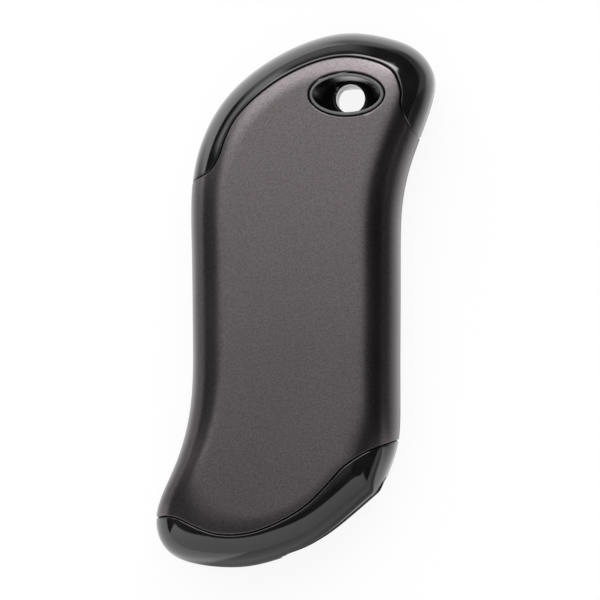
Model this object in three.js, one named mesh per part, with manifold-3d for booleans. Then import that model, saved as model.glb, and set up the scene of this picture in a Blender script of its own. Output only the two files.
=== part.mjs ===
// A rechargeable pocket hand warmer, in millimetres, lying on its back.
// X runs across it, Y along it towards the lanyard eyelet and Z up through its front face.
import * as THREE from "three";
import { mergeVertices } from "three/addons/utils/BufferGeometryUtils.js";
import Module from "manifold-3d";

const wasm = await Module();
wasm.setup();

// Overall size
const width = 66;
const length = 126;

// Walls, gaps and the overrun that every cut shares
const shellWall = 1.2;
const capWall = 1.8;
const seamGap = 0.35;
const partingGap = 0.4;
const fitGap = 0.3;
const overrun = 20;

// Lanyard eyelet: an oval insert whose bowl narrows to a round bore
const eyeletWidth = 17.1;
const eyeletHeight = 9.8;
const eyeletRim = 0.75;
const eyeletBore = 6.8;
const eyeletBoreDepth = 8;
const eyeletPlaceShares = [0.403, 0.754];

// Battery cells and what joins them: the cells fill the waist, and the length from eyelet to board
const cellGap = 0.6;
const cellSideRoom = 5.885;
const cellToEyelet = 6.602;
const cellToBoard = 2.2;
const cellEdge = 0.8;
const cellNubDiameter = 6;
const cellNubHeight = 1;
const insulatorThickness = 0.25;
const insulatorInset = 0.8;
const stripThickness = 0.3;
const stripWidth = 8;
const stripReach = 5;

// Heaters and the pads behind them
const filmThickness = 0.25;
const filmSideMargin = 1.8;
const filmEndMargin = 2.5;
const filmCorner = 3;
const padThickness = 0.85;
const padMargin = 1;

// Chassis that carries the cells, board and screws
const chassisWall = 1.6;
const chassisBandInset = 6.5;
const chassisLip = 1.2;
const chassisFloor = 1;
const ribThickness = 1.6;
const ribInset = 5.5;
const leadChannelWidth = 2.4;
const leadChannelHeight = 7;
const bossDiameter = 5.6;
const topBossWidthShares = [0.73, -0.425];
const topBossRises = [4, 5.2];
const bottomBossPlaceShares = [[-0.73, -0.65], [0.564, -0.538]];
const screwShank = 1.8;
const screwHead = 3.6;
const screwHeadHeight = 1.2;
const screwSink = 1.2;
const screwDrive = 1.4;
const screwDriveDepth = 0.7;
const screwReach = 4.5;

// Port panel, set in the slanting end face of the bottom caps
const panelAngle = THREE.MathUtils.degToRad(38.7);
const panelPlaceShares = [0.318, -0.84];
const panelWidth = 30.5;
const panelHeight = 11;
const panelCorner = 3.5;
const panelRim = 1;
const panelInset = 0.4;
const panelRecess = 3.2;
const panelPlate = 1.5;
const portSink = 0.2;

// Circuit board and the sockets on its edge
const boardThickness = 1.6;
const boardTop = -3.15;
const boardSetback = 0.6;
const boardReach = 21.72;
const usbWidth = 13.1;
const usbHeight = 5.7;
const usbDepth = 14;
const usbWall = 0.3;
const usbRound = 0.8;
const usbTongueWidth = 11.1;
const usbTongueHeight = 1.8;
const usbTongueGap = 0.7;
const usbTongueSink = 1.2;
const usbPlace = -7;
const microWidth = 7.5;
const microHeight = 2.6;
const microDepth = 5.5;
const microWall = 0.3;
const microTaper = 0.9;
const microTongueWidth = 3.7;
const microTongueHeight = 0.5;
const microPlace = 3.9;

// Power button, its switch, and the charge lights
const buttonDiameter = 4.4;
const buttonProud = 0.7;
const buttonFlange = 5.6;
const buttonFlangeThickness = 0.7;
const buttonStem = 2.4;
const buttonStemDepth = 1.3;
const buttonTravel = 0.4;
const buttonPlace = 11.3;
const switchSize = 6;
const switchDepth = 3.4;
const switchBore = 3.4;
const plungerDiameter = 2.8;
const plungerLength = 1.6;
const lightCount = 4;
const lightPitch = 2;
const lightDiameter = 1.1;
const lightRow = 2.7;
const lightPipeHeight = 1.4;
const lightPipeDepth = 5.6;
const ledWidth = 1.5;
const ledDepth = 0.8;
const ledHeight = 0.8;

// Parts on the board: width, depth and height, with their places as shares of the half width
// and of the board's reach from the port panel
const inductorWidthShare = 0.212;
const inductorDepth = 7;
const inductorHeight = 4;
const inductorToUsb = 1;
const chipSize = [5, 4, 1.4];
const inductorReachShare = 0.25;
const chipPlaceShares = {
  boost_chip: [-0.364, 0.696],
  controller_chip: [-0.4, -0.087],
  charge_chip: [0.121, 0.835],
};
const capacitorDiameter = 5;
const capacitorHeight = 6;
const capacitorPlaceShares = [[-0.697, -0.05], [-0.59, 0.75]];

// Leads and the temperature bead
const leadDiameter = 1.2;
const fineLeadDiameter = 0.8;
const beadDiameter = 2;
const valleyHeight = 5;
const rearLeadHeight = 6;
const negativeLeadPlace = -4;
const heaterLeadPlaces = [-8.6, -6.6];
const solderSetback = 3;

// Fineness of curves
const outerFineness = { stepsPerPoint: 2, levels: 8 };
const innerFineness = { stepsPerPoint: 1, levels: 6 };
const seamSteps = 48;
const ovalSteps = 28;
const bowlSteps = 4;
const roundSides = 24;
const smallRoundSides = 12;
const leadSides = 6;
const leadSteps = 10;

// Outline of the body, anticlockwise from the middle of its right flank
const outlineShares = [
  [0.745, 0], [0.745, 0.19], [0.758, 0.349], [0.81, 0.492], [0.891, 0.619], [0.969, 0.741],
  [0.985, 0.841], [0.884, 0.929], [0.712, 0.975], [0.424, 1], [0.152, 0.978], [-0.12, 0.915],
  [-0.356, 0.829], [-0.53, 0.73], [-0.65, 0.616], [-0.722, 0.492], [-0.745, 0.349], [-0.742, 0.175],
  [-0.736, 0], [-0.732, -0.19], [-0.742, -0.349], [-0.785, -0.492], [-0.861, -0.619], [-0.953, -0.73],
  [-0.997, -0.83], [-0.939, -0.921], [-0.77, -0.977], [-0.424, -1], [-0.161, -0.975], [0.124, -0.908],
  [0.361, -0.824], [0.545, -0.74], [0.667, -0.638], [0.73, -0.525], [0.745, -0.373], [0.745, -0.19],
];

// The flat faces repeat the outline, drawn in to these shares of it
const flatWidthShare = 0.59;
const flatLengthShare = 0.79;

// Seams between the caps and the shells, from left to right and on past both flanks
const topSeamShares = [
  [-1.09, 0.297], [-0.909, 0.368], [-0.73, 0.438], [-0.585, 0.468], [-0.512, 0.516], [-0.452, 0.602],
  [-0.382, 0.67], [-0.248, 0.744], [-0.061, 0.816], [0.164, 0.871], [0.379, 0.894], [0.585, 0.879],
  [0.727, 0.837], [0.782, 0.765], [0.782, 0.706], [0.833, 0.64], [0.924, 0.59], [1.06, 0.519],
  [1.18, 0.456],
];
const bottomSeamShares = [
  [-1.21, -0.812], [-1.06, -0.81], [-0.975, -0.809], [-0.882, -0.8], [-0.785, -0.808], [-0.661, -0.837],
  [-0.527, -0.86], [-0.376, -0.863], [-0.218, -0.846], [-0.042, -0.806], [0.115, -0.754],
  [0.248, -0.687], [0.379, -0.614], [0.524, -0.563], [0.679, -0.532], [0.848, -0.506], [1.03, -0.476],
];

// Sizes that follow from those above
const halfWidth = width / 2;
const halfLength = length / 2;
const waist = outlineShares[0][0] * width;
const cellDiameter = (waist - cellGap) / 2 - cellSideRoom;
const cellSpacing = cellDiameter + cellGap;
const boardStart = panelPlaceShares[1] * halfLength;
const boardEnd = boardStart + boardReach;
const cellTop = eyeletPlaceShares[1] * halfLength - eyeletHeight / 2 - cellToEyelet;
const cellBottom = boardEnd + cellToBoard;
const cellLength = cellTop - cellBottom;
const cellMiddle = (cellTop + cellBottom) / 2;
const ribPitch = cellLength / 2 - ribInset;
const filmWidth = waist * flatWidthShare - 2 * filmSideMargin;
const filmLength = cellLength - 2 * filmEndMargin;
const padWidth = filmWidth - 2 * padMargin;
const padLength = filmLength - 2 * padMargin;
const chassisTop = cellDiameter / 2 + fitGap + chassisFloor + fitGap;
const padTop = chassisTop + fitGap + padThickness;
const filmInner = padTop + fitGap;
const filmOuter = filmInner + filmThickness;
const halfThickness = filmOuter + fitGap + shellWall;
const chassisBandHeight = halfThickness - chassisBandInset;

const materials = {
  satinAluminium: finish(0x5f5b5a, 0.38, 0.9),
  blackGloss: finish(0x0d0d0f, 0.08, 0),
  blackSatin: finish(0x1b1b1d, 0.45, 0),
  chassisPlastic: finish(0x2a2a2c, 0.6, 0),
  steel: finish(0xb9bbbd, 0.3, 1),
  cellSleeve: finish(0x2c6fa8, 0.4, 0),
  paper: finish(0xd8d4c6, 0.85, 0),
  film: finish(0xb8741f, 0.35, 0),
  pad: finish(0x8f9296, 0.9, 0),
  board: finish(0x14532d, 0.5, 0),
  chip: finish(0x18181a, 0.55, 0),
  ferrite: finish(0x3a3a3c, 0.7, 0.2),
  clear: finish(0xe6ecf0, 0.15, 0),
  lamp: finish(0xf2f4d8, 0.3, 0),
  redLead: finish(0xb02018, 0.5, 0),
  blackLead: finish(0x151516, 0.5, 0),
  whiteLead: finish(0xd9d9d6, 0.5, 0),
};

// A material of one colour, roughness and metalness
function finish(color, roughness, metalness) {
  return new THREE.MeshStandardMaterial({ color, roughness, metalness });
}

// A place on the front plane from shares of the half width and half length
function placeOf([widthShare, lengthShare]) {
  return new THREE.Vector2(widthShare * halfWidth, lengthShare * halfLength);
}

// A solid for joins and cuts, from a closed geometry that a matrix may place
function solid(geometry, matrix = new THREE.Matrix4()) {
  const bare = geometry.clone().applyMatrix4(matrix);
  bare.deleteAttribute("normal");
  bare.deleteAttribute("uv");
  const merged = mergeVertices(bare);
  const vertProperties = merged.getAttribute("position").array;
  return new wasm.Manifold(new wasm.Mesh({ numProp: 3, vertProperties, triVerts: merged.index.array }));
}

// Points of a closed smooth line past the given ones, as a cubic B-spline
function smoothLoop(points, stepsPerPoint) {
  const at = (list, i) => list[(i + list.length) % list.length];
  const handles = points.map((point, i) => {
    const bend = at(points, i - 1).clone().add(at(points, i + 1)).addScaledVector(point, -2);
    return point.clone().addScaledVector(bend, -1 / 6);
  });
  return handles.flatMap((_, i) =>
    Array.from({ length: stepsPerPoint }, (_unused, step) => {
      const t = step / stepsPerPoint;
      return new THREE.Vector2()
        .addScaledVector(at(handles, i - 1), (1 - t) ** 3 / 6)
        .addScaledVector(at(handles, i), (3 * t ** 3 - 6 * t ** 2 + 4) / 6)
        .addScaledVector(at(handles, i + 1), (-3 * t ** 3 + 3 * t ** 2 + 3 * t + 1) / 6)
        .addScaledVector(at(handles, i + 2), t ** 3 / 6);
    }),
  );
}

// Directions square to a line of points, to its right as it runs
function sideways(points, closed) {
  const last = points.length - 1;
  return points.map((_, i) => {
    const before = points[i > 0 ? i - 1 : closed ? last : 0];
    const after = points[i < last ? i + 1 : closed ? 0 : last];
    return new THREE.Vector2(after.y - before.y, before.x - after.x).normalize();
  });
}

// The body's edge at its middle, with the flat face's edge and the width of the round between them
function bodyEdge(stepsPerPoint) {
  const loop = smoothLoop(outlineShares.map(placeOf), stepsPerPoint);
  const bounds = new THREE.Box2().setFromPoints(loop);
  const middle = bounds.getCenter(new THREE.Vector2());
  const fit = new THREE.Vector2(width, length).divide(bounds.getSize(new THREE.Vector2()));
  const edges = loop.map((point) => point.clone().sub(middle).multiply(fit));
  const outward = sideways(edges, true);
  return edges.map((edge, i) => {
    const flat = edge.clone().multiply(new THREE.Vector2(flatWidthShare, flatLengthShare));
    return { edge, flat, round: edge.clone().sub(flat).dot(outward[i]) };
  });
}

// A closed surface through level rings of equally many points, the lowest ring first
function loft(rings) {
  const count = rings[0].length;
  const index = [];
  for (let low = 0; low < (rings.length - 1) * count; low += count) {
    for (let i = 0; i < count; i++) {
      const a = low + i;
      const b = low + ((i + 1) % count);
      index.push(a, b, b + count, a, b + count, a + count);
    }
  }
  const lid = (rings.length - 1) * count;
  const contour = rings[0].map(({ x, y }) => new THREE.Vector2(x, y));
  for (const [a, b, c] of THREE.ShapeUtils.triangulateShape(contour, [])) {
    index.push(a, c, b, lid + a, lid + b, lid + c);
  }
  return new THREE.BufferGeometry().setFromPoints(rings.flat()).setIndex(index);
}

// The whole body's form, sunk below its outer surface by a depth
function bodySkin(depth, { stepsPerPoint, levels } = innerFineness) {
  const around = bodyEdge(stepsPerPoint);
  const rings = [];
  for (let level = 0; level <= levels; level++) {
    const angle = Math.PI * (level / levels - 0.5);
    const height = (halfThickness - depth) * Math.sin(angle);
    rings.push(
      around.map(({ edge, flat, round }) => {
        const point = flat.clone().lerp(edge, (1 - depth / round) * Math.cos(angle));
        return new THREE.Vector3(point.x, point.y, height);
      }),
    );
  }
  return solid(loft(rings));
}

// A prism along Z from a shape or a list of its corners
function prism(shape, bottom, top, matrix) {
  const outline = Array.isArray(shape) ? new THREE.Shape(shape) : shape;
  const geometry = new THREE.ExtrudeGeometry(outline, {
    depth: top - bottom,
    bevelEnabled: false,
    curveSegments: roundSides / 4,
  });
  return solid(geometry.translate(0, 0, bottom), matrix);
}

// A prism on one side of the middle plane: side is 1 at the front and -1 at the rear
function sidePrism(shape, side, inner, outer) {
  return side > 0 ? prism(shape, inner, outer) : prism(shape, -outer, -inner);
}

// A round bar along Z about a place
function bar(diameter, bottom, top, x, y, { matrix, sides = roundSides } = {}) {
  const geometry = new THREE.CylinderGeometry(diameter / 2, diameter / 2, top - bottom, sides);
  return solid(geometry.rotateX(Math.PI / 2).translate(x, y, (bottom + top) / 2), matrix);
}

// A block between two opposite corners
function block(low, high, matrix) {
  const size = high.clone().sub(low);
  const middle = low.clone().add(high).multiplyScalar(0.5);
  return solid(new THREE.BoxGeometry(...size).translate(...middle), matrix);
}

// A block of a given width, depth and height that stands at a height over a place
function standing([wide, deep, high], place, bottom) {
  const low = new THREE.Vector3(place.x - wide / 2, place.y - deep / 2, bottom);
  return block(low, low.clone().add(new THREE.Vector3(wide, deep, high)));
}

// A rectangle with round corners about a place
function roundedRectangle(wide, high, corner, x = 0, y = 0) {
  const right = wide / 2 - corner;
  const top = high / 2 - corner;
  return new THREE.Shape()
    .absarc(x + right, y + top, corner, 0, Math.PI / 2, false)
    .absarc(x - right, y + top, corner, Math.PI / 2, Math.PI, false)
    .absarc(x - right, y - top, corner, Math.PI, 1.5 * Math.PI, false)
    .absarc(x + right, y - top, corner, 1.5 * Math.PI, 2 * Math.PI, false);
}

// An oval ring about the eyelet's middle at a height
function oval(wide, high, height) {
  return Array.from({ length: ovalSteps }, (_, i) => {
    const angle = (2 * Math.PI * i) / ovalSteps;
    const x = eyeletPlace.x + (wide / 2) * Math.cos(angle);
    const y = eyeletPlace.y + (high / 2) * Math.sin(angle);
    return new THREE.Vector3(x, y, height);
  });
}

// An insulated lead along a smooth line of points
function lead(points, diameter) {
  const circle = Array.from({ length: leadSides }, (_, i) => {
    const angle = (2 * Math.PI * i) / leadSides;
    return new THREE.Vector2(Math.cos(angle), Math.sin(angle)).multiplyScalar(diameter / 2);
  });
  const extrudePath = new THREE.CatmullRomCurve3(points, false, "centripetal");
  return solid(new THREE.ExtrudeGeometry(new THREE.Shape(circle), { steps: leadSteps, extrudePath }));
}

// A turned solid from a profile of radius and height, its axis laid along Y or left along Z
function turned(profile, alongY, sides = roundSides) {
  const points = profile.map(([radius, height]) => new THREE.Vector2(radius, height));
  const geometry = new THREE.LatheGeometry(points, sides);
  return alongY ? geometry : geometry.rotateX(Math.PI / 2);
}

// Adds a named piece to the hand warmer or to one of its groups
function addPart(name, shape, material, group = body) {
  const { vertProperties, triVerts } = shape.getMesh();
  const geometry = new THREE.BufferGeometry();
  geometry.setAttribute("position", new THREE.BufferAttribute(vertProperties, 3));
  geometry.setIndex(new THREE.BufferAttribute(triVerts, 1));
  geometry.computeVertexNormals();
  const mesh = new THREE.Mesh(geometry, material);
  mesh.name = name;
  group.add(mesh);
  return mesh;
}

const handWarmer = new THREE.Group();
const body = new THREE.Group();
body.position.z = halfThickness;
handWarmer.add(body);

// The port group's X runs along the slanting end face, its Y up and its Z out of the face
const ports = new THREE.Group();
const portsPlace = placeOf(panelPlaceShares);
ports.position.set(portsPlace.x, portsPlace.y, 0);
ports.rotation.set(Math.PI / 2, 0, panelAngle, "ZYX");
ports.updateMatrix();
body.add(ports);

const eyeletPlace = placeOf(eyeletPlaceShares);
const bosses = [
  ...topBossRises.map((rise, i) => new THREE.Vector2(topBossWidthShares[i] * halfWidth, cellTop + rise)),
  ...bottomBossPlaceShares.map(placeOf),
];
const outerSkin = bodySkin(0, outerFineness);
const chassisDepth = capWall + fitGap;
const sides = { front: 1, rear: -1 };

// Lines of the two seams, and the regions that they bound on the front plane
function seamLine(shares, shift) {
  const line = new THREE.SplineCurve(shares.map(placeOf)).getPoints(seamSteps);
  const rightHand = sideways(line, false);
  return line.map((point, i) => point.clone().addScaledVector(rightHand[i], shift));
}

function beyond(widthSign, lengthSign) {
  return new THREE.Vector2(widthSign * (halfWidth + overrun), lengthSign * (halfLength + overrun));
}

const shellRegion = [
  ...seamLine(bottomSeamShares, -seamGap / 2),
  ...seamLine(topSeamShares, seamGap / 2).reverse(),
];
const topRegion = [...seamLine(topSeamShares, -seamGap / 2), beyond(1, 1), beyond(-1, 1)];
const bottomRegion = [beyond(-1, -1), beyond(1, -1), ...seamLine(bottomSeamShares, seamGap / 2).reverse()];

// Outline of the port panel, as wide again as a margin on every side
function panelShape(margin) {
  return roundedRectangle(panelWidth + 2 * margin, panelHeight + 2 * margin, panelCorner + margin);
}

const panelBack = -panelRecess - panelPlate;
const portMouth = -panelRecess - portSink;
const usbBack = portMouth - usbDepth;
const panelPocket = prism(panelShape(fitGap), panelBack - fitGap, overrun, ports.matrix);
const portRoom = prism(panelShape(fitGap), usbBack - fitGap, overrun, ports.matrix);

// Metal shells and gloss caps, front and rear
function addSkins() {
  const shellSolid = outerSkin.subtract(bodySkin(shellWall));
  const capSolid = outerSkin.subtract(bodySkin(capWall));
  const eyeletHole = loft([
    oval(eyeletWidth + 2 * fitGap, eyeletHeight + 2 * fitGap, -halfThickness - overrun),
    oval(eyeletWidth + 2 * fitGap, eyeletHeight + 2 * fitGap, halfThickness + overrun),
  ]);
  for (const [name, side] of Object.entries(sides)) {
    const cut = (region) => sidePrism(region, side, partingGap / 2, halfThickness + overrun);
    const shell = shellSolid.intersect(cut(shellRegion)).subtract(solid(eyeletHole));
    addPart(name + "_shell", shell, materials.satinAluminium);
    addPart("top_cap_" + name, capSolid.intersect(cut(topRegion)), materials.blackGloss);
    const bottomCap = capSolid.intersect(cut(bottomRegion)).subtract(panelPocket);
    addPart("bottom_cap_" + name, bottomCap, materials.blackGloss);
  }
}

// Eyelet halves: an oval column with a bowl that opens outwards from the bore
function addEyelets() {
  const boreTop = eyeletBoreDepth / 2;
  const mouth = [eyeletWidth - 2 * eyeletRim, eyeletHeight - 2 * eyeletRim];
  const rings = [];
  for (let step = 0; step <= bowlSteps; step++) {
    const share = step / bowlSteps;
    const spread = Math.sqrt(share);
    const wide = eyeletBore + (mouth[0] - eyeletBore) * spread;
    const high = eyeletBore + (mouth[1] - eyeletBore) * spread;
    rings.push(oval(wide, high, boreTop + (halfThickness - boreTop) * share));
  }
  rings.push(oval(...mouth, halfThickness + overrun));
  const bowl = loft(rings);
  const bore = bar(eyeletBore, -halfThickness, halfThickness, eyeletPlace.x, eyeletPlace.y);
  for (const [name, side] of Object.entries(sides)) {
    const column = sidePrism(oval(eyeletWidth, eyeletHeight, 0), side, partingGap / 2, halfThickness);
    const turn = new THREE.Matrix4().makeRotationX(side > 0 ? 0 : Math.PI);
    turn.premultiply(new THREE.Matrix4().makeTranslation(0, side > 0 ? 0 : 2 * eyeletPlace.y, 0));
    const eyelet = column.intersect(outerSkin).subtract(solid(bowl, turn)).subtract(bore);
    addPart("eyelet_" + name, eyelet, materials.blackGloss);
  }
}

// Round battery cells side by side, with washers on their nubs and strips across both ends
function addBattery() {
  const radius = cellDiameter / 2;
  const end = cellLength / 2;
  const can = turned(
    [
      [0, -end],
      [radius - cellEdge, -end],
      [radius, -end + cellEdge],
      [radius, end - cellEdge],
      [radius - cellEdge, end],
      [cellNubDiameter / 2, end],
      [cellNubDiameter / 2, end + cellNubHeight],
      [0, end + cellNubHeight],
    ],
    true,
  );
  const washerInner = cellNubDiameter / 2 + fitGap;
  const washerOuter = radius - insulatorInset;
  const washer = turned(
    [
      [washerInner, end + fitGap],
      [washerOuter, end + fitGap],
      [washerOuter, end + fitGap + insulatorThickness],
      [washerInner, end + fitGap + insulatorThickness],
      [washerInner, end + fitGap],
    ],
    true,
  );
  for (const [name, sign] of Object.entries({ left: -1, right: 1 })) {
    const place = new THREE.Matrix4().makeTranslation((sign * cellSpacing) / 2, cellMiddle, 0);
    addPart("battery_cell_" + name, solid(can, place), materials.cellSleeve);
    addPart("cell_insulator_" + name, solid(washer, place), materials.paper);
  }
  const stripHalf = new THREE.Vector3(cellSpacing / 2 + stripReach, stripThickness / 2, stripWidth / 2);
  for (const [name, y] of Object.entries(stripPlaces)) {
    const middle = new THREE.Vector3(0, y, 0);
    const strip = block(middle.clone().sub(stripHalf), middle.clone().add(stripHalf));
    addPart("nickel_strip_" + name, strip, materials.steel);
  }
}

const stripPlaces = {
  positive: cellMiddle + cellLength / 2 + cellNubHeight + fitGap + stripThickness / 2,
  negative: cellMiddle - cellLength / 2 - fitGap - stripThickness / 2,
};

// Heater films stuck under the shells, and the pads that press them there
function addHeaters() {
  const film = roundedRectangle(filmWidth, filmLength, filmCorner);
  const pad = roundedRectangle(padWidth, padLength, filmCorner - padMargin);
  for (const [name, side] of Object.entries(sides)) {
    addPart("heater_film_" + name, sidePrism(film, side, filmInner, filmOuter), materials.film);
    const padSolid = sidePrism(pad, side, padTop - padThickness, padTop);
    addPart("insulation_pad_" + name, padSolid, materials.pad);
  }
}

// Chassis halves: a band inside the skin, ribs that saddle the cells, a floor, and screw bosses
function addChassis() {
  const reach = halfWidth + overrun;
  const chassisSkin = bodySkin(chassisDepth);
  const inner = bodySkin(chassisDepth + chassisWall);
  const lipRoom = block(
    new THREE.Vector3(-reach, -halfLength, -halfThickness),
    new THREE.Vector3(reach, halfLength, chassisLip + fitGap),
  ).subtract(bodySkin(chassisDepth + chassisWall + fitGap));
  const ribRoom = chassisSkin.subtract(lipRoom);
  const saddle = cellDiameter + 2 * fitGap;
  const saddleEnd = cellLength / 2 + fitGap;
  const saddles = [-1, 1].map((sign) => {
    const geometry = new THREE.CylinderGeometry(saddle / 2, saddle / 2, 2 * saddleEnd, roundSides);
    return solid(geometry, new THREE.Matrix4().makeTranslation((sign * cellSpacing) / 2, cellMiddle, 0));
  });
  const floorBottom = saddle / 2 + fitGap;
  const channel = block(
    new THREE.Vector3(-leadChannelWidth / 2, -halfLength, -leadChannelHeight),
    new THREE.Vector3(leadChannelWidth / 2, halfLength, leadChannelHeight),
  );
  const screwHole = screwShank + 2 * fitGap;
  const headHole = screwHead + 2 * fitGap;
  const holeTop = screwReach + fitGap;
  for (const [name, side] of Object.entries(sides)) {
    const slab = (x0, x1, y0, y1, z0, z1) => {
      const low = new THREE.Vector3(x0, y0, side > 0 ? z0 : -z1);
      return block(low, new THREE.Vector3(x1, y1, side > 0 ? z1 : -z0));
    };
    const start = partingGap / 2;
    const bandStart = side > 0 ? chassisLip + fitGap : -chassisLip;
    const bandSlab = slab(-reach, reach, -halfLength, halfLength, bandStart, chassisBandHeight);
    let half = chassisSkin.subtract(inner).intersect(bandSlab);
    for (const step of [-1, 0, 1]) {
      const y = cellMiddle + step * ribPitch;
      const rib = slab(-reach, reach, y - ribThickness / 2, y + ribThickness / 2, start, chassisTop);
      half = half.add((side > 0 ? ribRoom : chassisSkin).intersect(rib));
    }
    const floorHalf = padWidth / 2;
    const floorEnd = ribPitch + ribThickness / 2;
    const floorSlab = [cellMiddle - floorEnd, cellMiddle + floorEnd, floorBottom, chassisTop];
    half = half.add(slab(-floorHalf, floorHalf, ...floorSlab));
    for (const { x, y } of bosses) {
      const bottom = side > 0 ? start : -chassisBandHeight;
      const bossTop = bottom + chassisBandHeight - start;
      const boss = bar(bossDiameter, bottom, bossTop, x, y, { sides: smallRoundSides });
      half = half.add((side > 0 ? ribRoom : chassisSkin).intersect(boss));
    }
    half = half.subtract(saddles[0]).subtract(saddles[1]).subtract(channel).subtract(portRoom);
    for (const { x, y } of bosses) {
      half = half.subtract(bar(screwHole, -halfThickness, holeTop, x, y, { sides: smallRoundSides }));
      half = half.subtract(bar(headHole, -halfThickness, screwSeat, x, y, { sides: smallRoundSides }));
    }
    addPart("chassis_" + name, half, materials.chassisPlastic);
  }
  addScrews();
}

// Screws from the rear half of the chassis into the front half, their heads sunk in the bosses
const screwSeat = -chassisBandHeight + screwHeadHeight + screwSink;
function addScrews() {
  const headTop = screwSeat - fitGap;
  const screw = solid(
    turned(
      [
        [0, headTop - screwHeadHeight],
        [screwHead / 2, headTop - screwHeadHeight],
        [screwHead / 2, headTop],
        [screwShank / 2, headTop],
        [screwShank / 2, screwReach],
        [0, screwReach],
      ],
      false,
      smallRoundSides,
    ),
  );
  bosses.forEach(({ x, y }, i) => {
    const driveBottom = headTop - screwHeadHeight;
    const driveTop = driveBottom + screwDriveDepth;
    const drive = bar(screwDrive, driveBottom - fitGap, driveTop, x, y, { sides: smallRoundSides / 2 });
    const placed = screw.translate([x, y, 0]).subtract(drive);
    addPart("chassis_screw_" + (i + 1), placed, materials.steel);
  });
}

// Sockets, button and lights, in the port group's own directions
function addPorts() {
  const openings = [
    [usbWidth, usbHeight, usbRound, usbPlace, 0],
    [microWidth, microHeight, microTaper, microPlace, microRow],
  ];
  let panel = prism(panelShape(0), panelBack, overrun, ports.matrix).intersect(bodySkin(panelInset));
  panel = panel.subtract(prism(panelShape(-panelRim), -panelRecess, overrun, ports.matrix));
  for (const [wide, high, corner, x, y] of openings) {
    const hole = roundedRectangle(wide + 2 * fitGap, high + 2 * fitGap, corner, x, y);
    panel = panel.subtract(prism(hole, panelBack - fitGap, overrun, ports.matrix));
  }
  const buttonHole = buttonDiameter + 2 * fitGap;
  const drillPlace = { matrix: ports.matrix };
  panel = panel.subtract(bar(buttonHole, panelBack - fitGap, overrun, buttonPlace, 0, drillPlace));
  for (const x of lightPlaces) {
    const lightHole = lightDiameter + fitGap;
    const place = { ...drillPlace, sides: smallRoundSides };
    panel = panel.subtract(bar(lightHole, panelBack - fitGap, overrun, x, lightRow, place));
  }
  addPart("port_panel", panel, materials.blackSatin);
  addUsbSocket();
  addMicroSocket();
  addButton();
  addLights();
}

const microRow = boardTop + fitGap + microHeight / 2;
const lightStart = microPlace - ((lightCount - 1) / 2) * lightPitch;
const lightPlaces = Array.from({ length: lightCount }, (_, i) => lightStart + i * lightPitch);

function addUsbSocket() {
  const can = prism(roundedRectangle(usbWidth, usbHeight, usbRound, usbPlace, 0), usbBack, portMouth);
  const mouth = roundedRectangle(
    usbWidth - 2 * usbWall,
    usbHeight - 2 * usbWall,
    usbRound - usbWall,
    usbPlace,
    0,
  );
  const hollow = prism(mouth, usbBack + usbTongueSink, overrun);
  const tongueTop = usbHeight / 2 - usbWall - usbTongueGap;
  const tongue = block(
    new THREE.Vector3(usbPlace - usbTongueWidth / 2, tongueTop - usbTongueHeight, usbBack),
    new THREE.Vector3(usbPlace + usbTongueWidth / 2, tongueTop, portMouth - usbTongueSink),
  );
  addPart("usb_a_socket", can.subtract(hollow).add(tongue), materials.steel, ports);
}

function addMicroSocket() {
  const back = portMouth - microDepth;
  const trapezoid = (wall) => {
    const top = microHeight / 2 - wall;
    const wide = microWidth / 2 - wall;
    const narrow = wide - microTaper;
    const corners = [[wide, top], [-wide, top], [-wide, 0], [-narrow, -top], [narrow, -top], [wide, 0]];
    return corners.map(([x, y]) => new THREE.Vector2(microPlace + x, microRow + y));
  };
  const hollow = prism(trapezoid(microWall), back + microWall, overrun);
  const socket = prism(trapezoid(0), back, portMouth).subtract(hollow);
  const tongue = block(
    new THREE.Vector3(microPlace - microTongueWidth / 2, microRow, back),
    new THREE.Vector3(microPlace + microTongueWidth / 2, microRow + microTongueHeight, portMouth - microWall),
  );
  addPart("micro_usb_socket", socket.add(tongue), materials.steel, ports);
}

// A flanged button that the panel keeps in, the plunger behind it and the switch on the board
function addButton() {
  const flangeFront = panelBack - fitGap;
  const flangeBack = flangeFront - buttonFlangeThickness;
  const stemBack = flangeBack - buttonStemDepth;
  const button = bar(buttonDiameter, flangeBack, -panelRecess + buttonProud, buttonPlace, 0)
    .add(bar(buttonFlange, flangeBack, flangeFront, buttonPlace, 0))
    .add(bar(buttonStem, stemBack, flangeBack, buttonPlace, 0));
  addPart("power_button", button, materials.blackSatin, ports);
  const plungerFront = stemBack - fitGap;
  const plungerBack = plungerFront - plungerLength;
  const plunger = bar(plungerDiameter, plungerBack, plungerFront, buttonPlace, 0);
  addPart("switch_plunger", plunger, materials.steel, ports);
  const switchFront = plungerFront - plungerLength / 2;
  const bottom = boardTop + fitGap;
  const box = block(
    new THREE.Vector3(buttonPlace - switchSize / 2, bottom, switchFront - switchDepth),
    new THREE.Vector3(buttonPlace + switchSize / 2, bottom + switchSize, switchFront),
  );
  const bore = bar(switchBore, plungerBack - buttonTravel - fitGap, overrun, buttonPlace, 0);
  addPart("tact_switch", box.subtract(bore), materials.chip, ports);
}

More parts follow.
